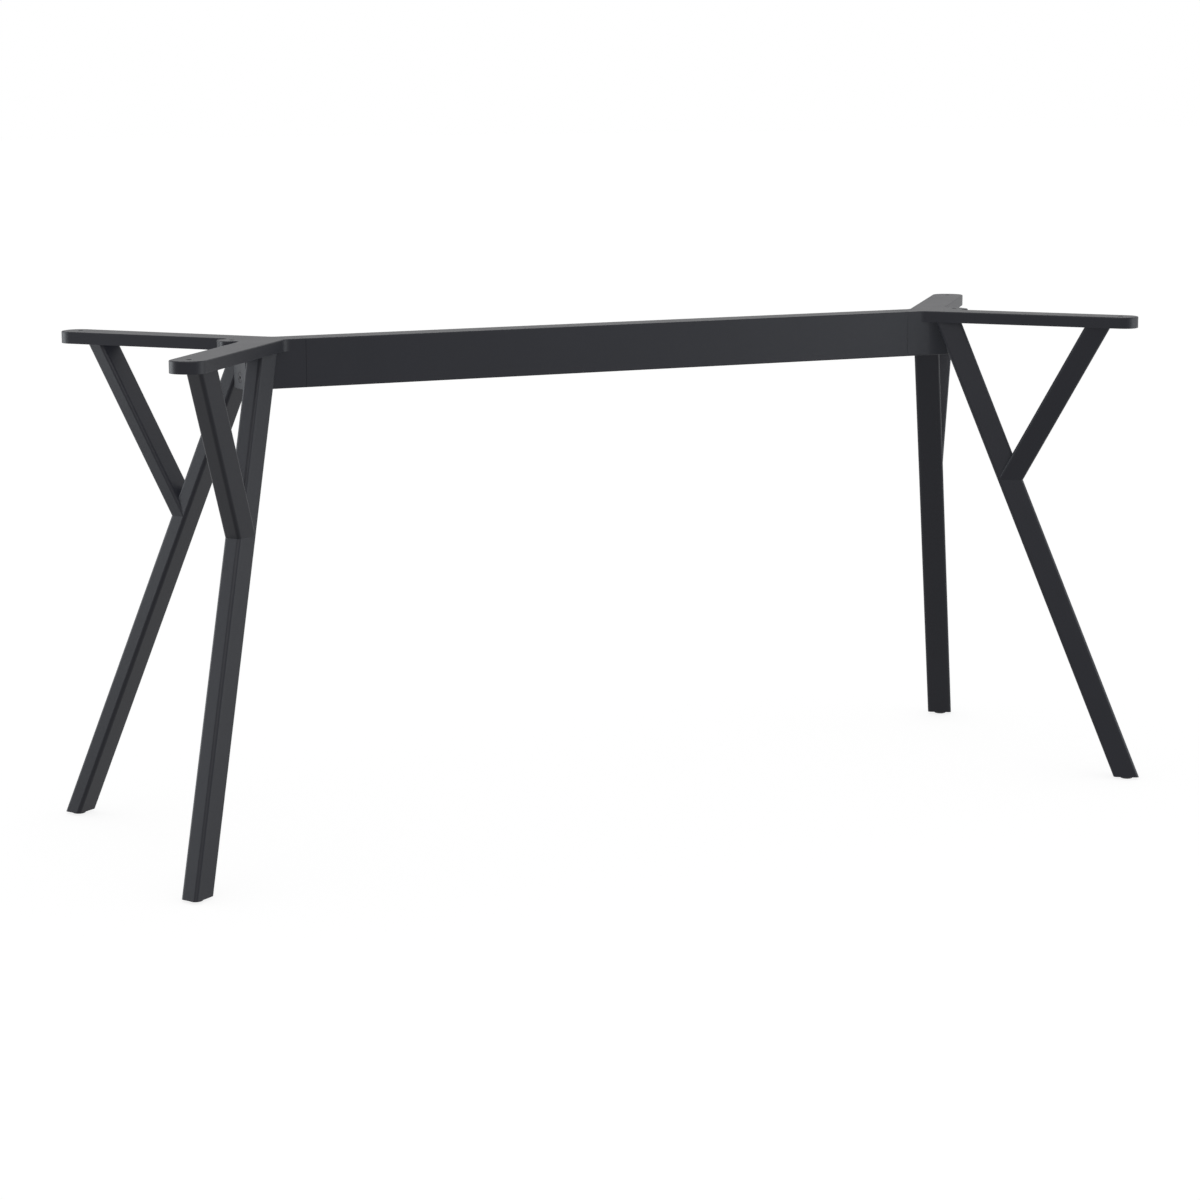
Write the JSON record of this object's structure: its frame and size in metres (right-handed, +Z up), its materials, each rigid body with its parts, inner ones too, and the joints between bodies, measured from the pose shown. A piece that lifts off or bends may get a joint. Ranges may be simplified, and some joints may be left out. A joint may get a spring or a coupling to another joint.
{
  "type": "outdoor table base",
  "caption": "Low charcoal table base: a straight beam between forked end brackets, on splayed legs that branch like a Y under each arm, with screw holes for a table top.",
  "frame": {"origin": "on the floor under the middle of the base", "axes": "+X along the beam to the right-hand bracket, +Y to the back, +Z up"},
  "size_m": [1.563, 0.5738, 0.72],
  "materials": {
    "coated_aluminium": "satin charcoal powder coat",
    "glide_plastic": "matt black plastic",
    "black_steel": "black-coated steel",
    "bare_aluminium": "mill finish, hidden in the beam"
  },
  "bodies": {
    "root": {"beam": "coated_aluminium", "end_bracket_left": "coated_aluminium", "end_bracket_right": "coated_aluminium", "leg_back_left": "coated_aluminium", "leg_back_right": "coated_aluminium", "leg_front_left": "coated_aluminium", "leg_front_right": "coated_aluminium", "foot_glide_back_left": "glide_plastic", "foot_glide_back_right": "glide_plastic", "foot_glide_front_left": "glide_plastic", "foot_glide_front_right": "glide_plastic", "beam_bolt_left": "black_steel", "beam_anchor_left": "bare_aluminium", "beam_bolt_right": "black_steel", "beam_anchor_right": "bare_aluminium"}
  },
  "joints": []
}
